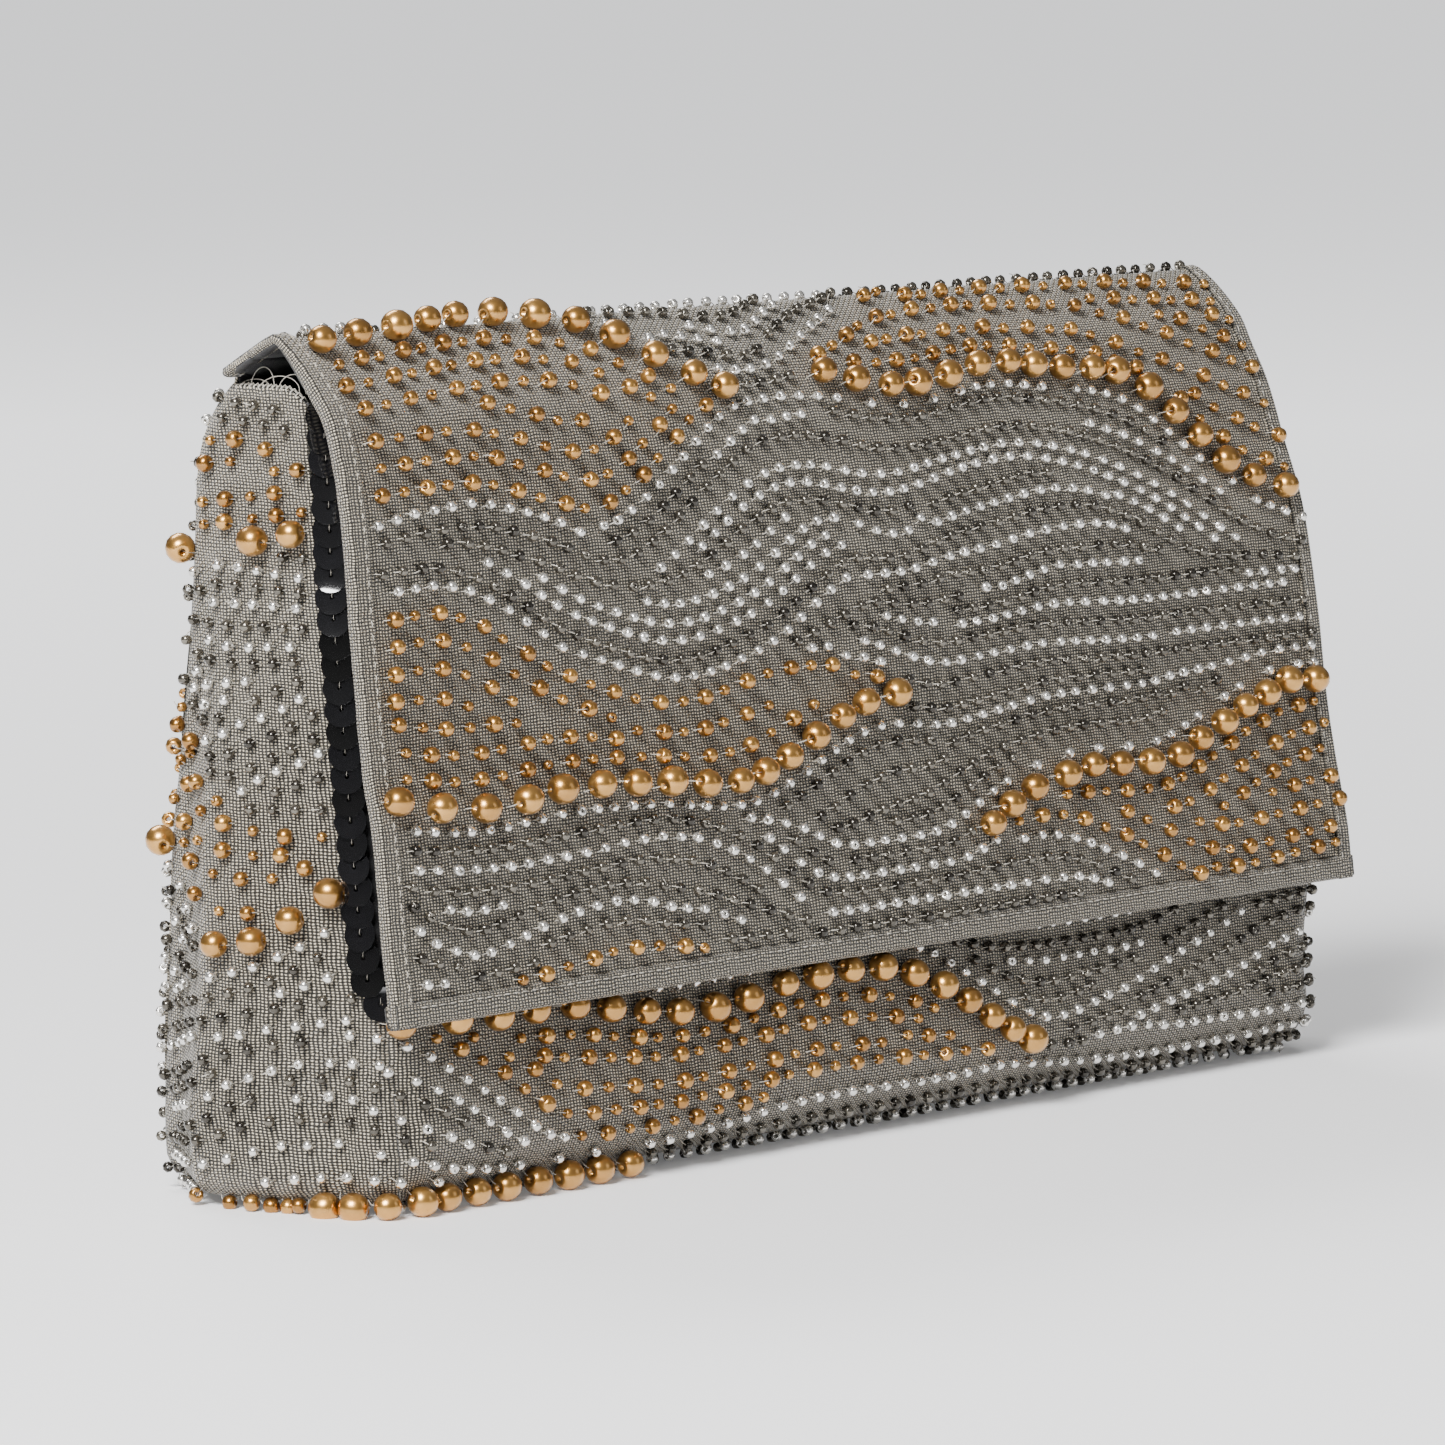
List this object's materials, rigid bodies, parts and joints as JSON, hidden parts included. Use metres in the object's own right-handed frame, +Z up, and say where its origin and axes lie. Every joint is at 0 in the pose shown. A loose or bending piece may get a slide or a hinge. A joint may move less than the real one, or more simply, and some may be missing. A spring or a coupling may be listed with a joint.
{
  "type": "clutch purse",
  "caption": "Slim clutch purse with tapered gussets and a fold-over front flap, covered in woven silk sewn all over with small beads.",
  "frame": {"origin": "middle of the base, on the surface it stands on", "axes": "+X along the purse to its right side seen from the front, -Y out of the front under the flap, +Z up"},
  "size_m": [0.266, 0.0578, 0.152],
  "materials": {
    "silk": "taupe plain-woven silk, beaded",
    "black_cloth": "plain black cloth",
    "lining": "black satin lining",
    "board": "grey pressed board",
    "interlining": "non-woven interlining",
    "sequin": "gloss black film discs",
    "magnet": "nickel plated",
    "gold_bead": "gold pearl lacquer",
    "silver_bead": "silver-lined glass",
    "dark_bead": "gunmetal glass",
    "thread": "silk sewing thread"
  },
  "bodies": {
    "body": {"base_cloth": "silk", "base_board": "board", "base_lining": "lining", "front_cloth": "silk", "under_flap_cloth": "black_cloth", "front_board": "board", "front_lining": "lining", "back_cloth": "silk", "back_board": "board", "back_lining": "lining", "slip_pocket": "lining", "gusset_cloth_left": "silk", "gusset_cloth_right": "silk", "gusset_interlining_left": "interlining", "gusset_interlining_right": "interlining", "gusset_lining_left": "lining", "gusset_lining_right": "lining", "sequin_band_left": "sequin", "sequin_band_right": "sequin", "front_magnet": "magnet"},
    "flap_top": {"flap_top_cloth": "silk", "flap_top_lining": "lining", "flap_top_hem_left": "silk", "flap_top_hem_right": "silk"},
    "flap_drop": {"flap_cloth": "silk", "flap_board": "board", "flap_lining": "lining", "flap_hem_left": "silk", "flap_hem_right": "silk", "flap_hem_lower": "silk", "flap_magnet": "magnet"}
  },
  "joints": [
    {"name": "flap_lift", "type": "hinge", "parent": "body", "child": "flap_top", "pos_m": [0, 0.0135, 0.1436], "axis": [-1, 0, 0], "range_deg": [0, 150]},
    {"name": "flap_fold", "type": "hinge", "parent": "flap_top", "child": "flap_drop", "pos_m": [0, -0.0005, 0.1522], "axis": [-1, 0, 0], "range_deg": [0, 60]}
  ]
}
